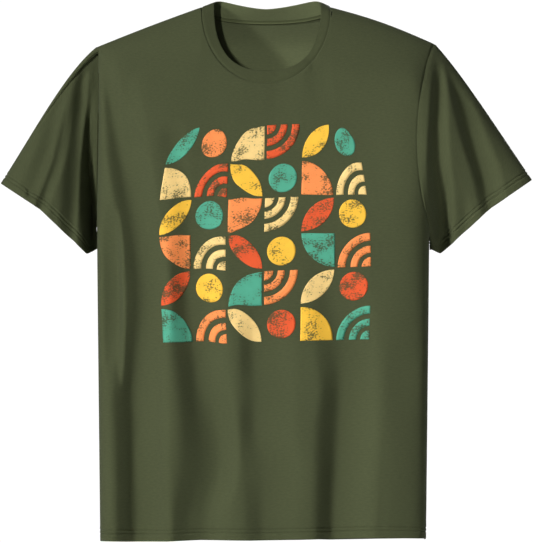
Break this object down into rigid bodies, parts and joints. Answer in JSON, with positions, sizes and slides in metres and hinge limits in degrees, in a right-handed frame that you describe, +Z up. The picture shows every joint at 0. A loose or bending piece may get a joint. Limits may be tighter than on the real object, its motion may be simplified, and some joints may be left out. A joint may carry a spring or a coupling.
{
  "type": "crew-neck t-shirt",
  "caption": "Short-sleeved crew-neck T-shirt in its worn, hollow shape, with a rib collar, turned-up hems and a printed chest, for dressing a figure or a display.",
  "frame": {"origin": "midway between the two high shoulder points, where the collar seam meets the shoulder seams; this is where the neck and shoulders of the wearer or the display form carry the shirt", "axes": "+Z up, -Y out of the front of the shirt, +X towards the wearer's left"},
  "size_m": [0.743, 0.1788, 0.752],
  "materials": {
    "jersey": "matt cotton jersey, olive green",
    "rib": "matt cotton rib knit, olive green",
    "tape": "matt woven cotton tape, olive green",
    "thread": "fine sewing thread, olive green",
    "print_ink": "thin matt screen-print ink, worn, in teal, red-orange, orange, yellow and cream"
  },
  "bodies": {
    "root": {"front_panel": "jersey", "back_panel": "jersey", "right_sleeve": "jersey", "left_sleeve": "jersey", "front_hem": "jersey", "back_hem": "jersey", "right_cuff_hem": "jersey", "left_cuff_hem": "jersey", "collar": "rib", "neck_tape": "tape"}
  },
  "joints": []
}
